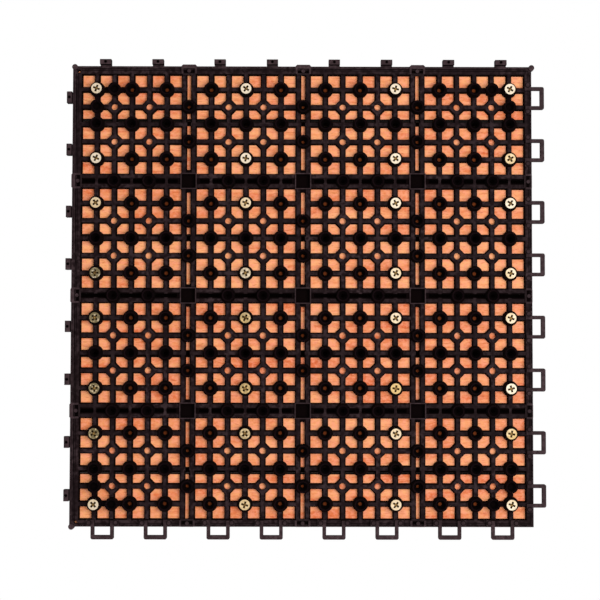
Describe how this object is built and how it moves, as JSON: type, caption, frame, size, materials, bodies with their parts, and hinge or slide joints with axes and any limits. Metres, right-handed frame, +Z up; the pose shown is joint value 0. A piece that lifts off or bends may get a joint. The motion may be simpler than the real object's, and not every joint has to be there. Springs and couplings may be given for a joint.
{
  "type": "interlocking deck tile",
  "caption": "Square outdoor deck tile: wooden slats screwed to a moulded plastic grid with hooking loops on two sides and pegs on the other two.",
  "frame": {"origin": "centre of the tile's 300 x 300 mm square, on the ground under the feet", "axes": "+X along the slats, towards the edge with eight loops; +Y across the slats, towards the other edge with loops; +Z up to the deck"},
  "size_m": [0.3128, 0.3128, 0.024],
  "materials": {
    "plastic": "dark brown-black moulded polypropylene, satin",
    "wood": "planed hardwood with a reddish-orange oil",
    "screw": "yellowish zinc plating"
  },
  "bodies": {
    "root": {"base_grid": "plastic", "slat_1": "wood", "slat_2": "wood", "slat_3": "wood", "slat_4": "wood", "slat_5": "wood", "slat_6": "wood", "slat_7": "wood", "slat_8": "wood", "screws_slat_1": "screw", "screws_slat_2": "screw", "screws_slat_3": "screw", "screws_slat_4": "screw", "screws_slat_5": "screw", "screws_slat_6": "screw", "screws_slat_7": "screw", "screws_slat_8": "screw"}
  },
  "joints": []
}
